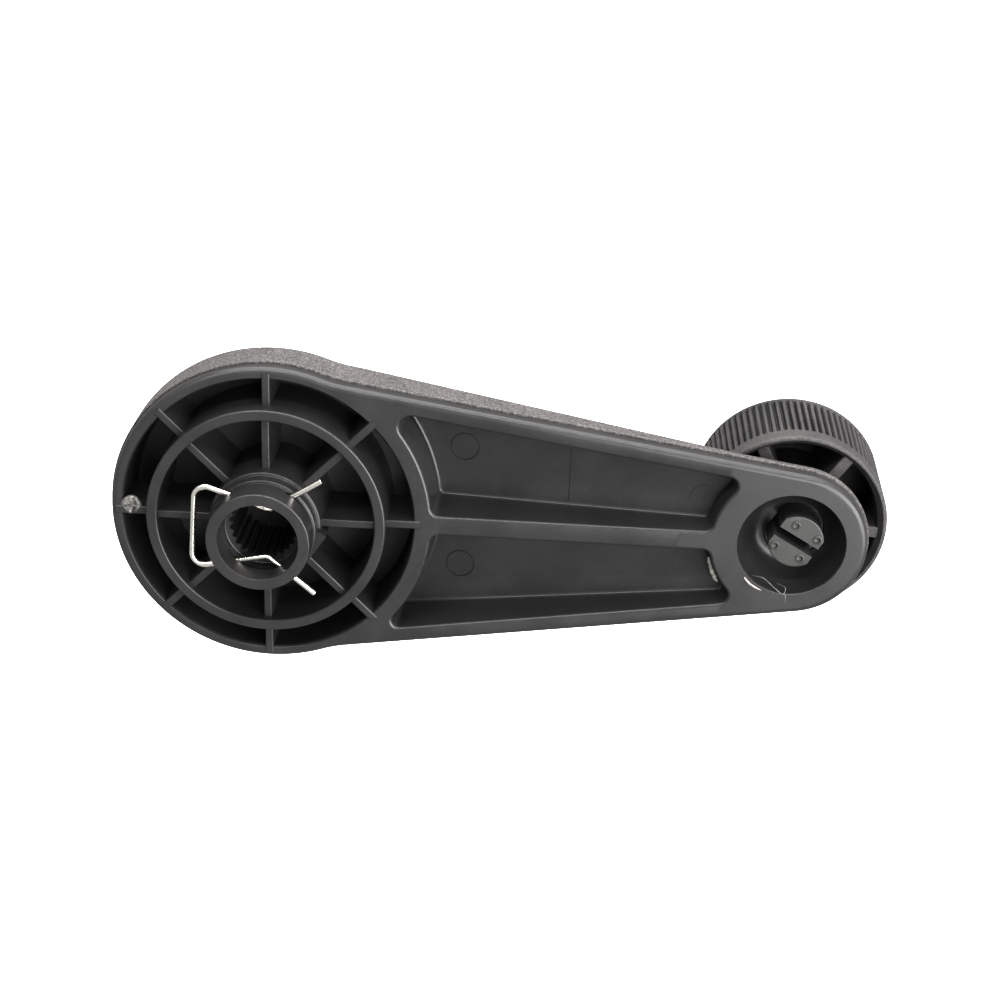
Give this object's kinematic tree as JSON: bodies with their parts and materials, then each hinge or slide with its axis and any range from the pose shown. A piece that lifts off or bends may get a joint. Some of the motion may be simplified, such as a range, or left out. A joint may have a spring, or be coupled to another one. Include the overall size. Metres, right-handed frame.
{
  "type": "vehicle window winder handle",
  "caption": "Hand crank for a manual vehicle window: ribbed plastic arm with a splined boss and wire clip, and a free-turning ridged knob.",
  "frame": {"origin": "on the axis of the splined bore, in the plane of the boss's end face that points at the door", "axes": "-Y along the bore axis towards the door, +Y towards the person winding, +X along the arm from the bore to the knob, +Z across the arm, up when the arm lies level"},
  "size_m": [0.1488, 0.043, 0.0608],
  "materials": {
    "arm_plastic": "charcoal moulded plastic, smooth back and grained front and sides",
    "spring_wire": "bright drawn spring steel wire",
    "spindle_plastic": "satin moulded plastic",
    "knob_plastic": "satin charcoal moulded plastic with ridges",
    "cap_plastic": "fine grained charcoal plastic"
  },
  "bodies": {
    "arm": {"handle_arm": "arm_plastic", "knob_spindle": "spindle_plastic"},
    "knob": {"knob_shell": "knob_plastic", "knob_cap": "cap_plastic"},
    "clip": {"spring_clip": "spring_wire"}
  },
  "joints": [
    {"name": "knob_spin", "type": "hinge", "parent": "arm", "child": "knob", "pos_m": [0.1, 0.0319, 0], "axis": [0, 1, 0], "continuous": true},
    {"name": "clip_slide", "type": "slide", "parent": "arm", "child": "clip", "axis": [-1, 0, 0], "range_m": [0, 0.006], "deforming": ["spring_clip"]}
  ]
}
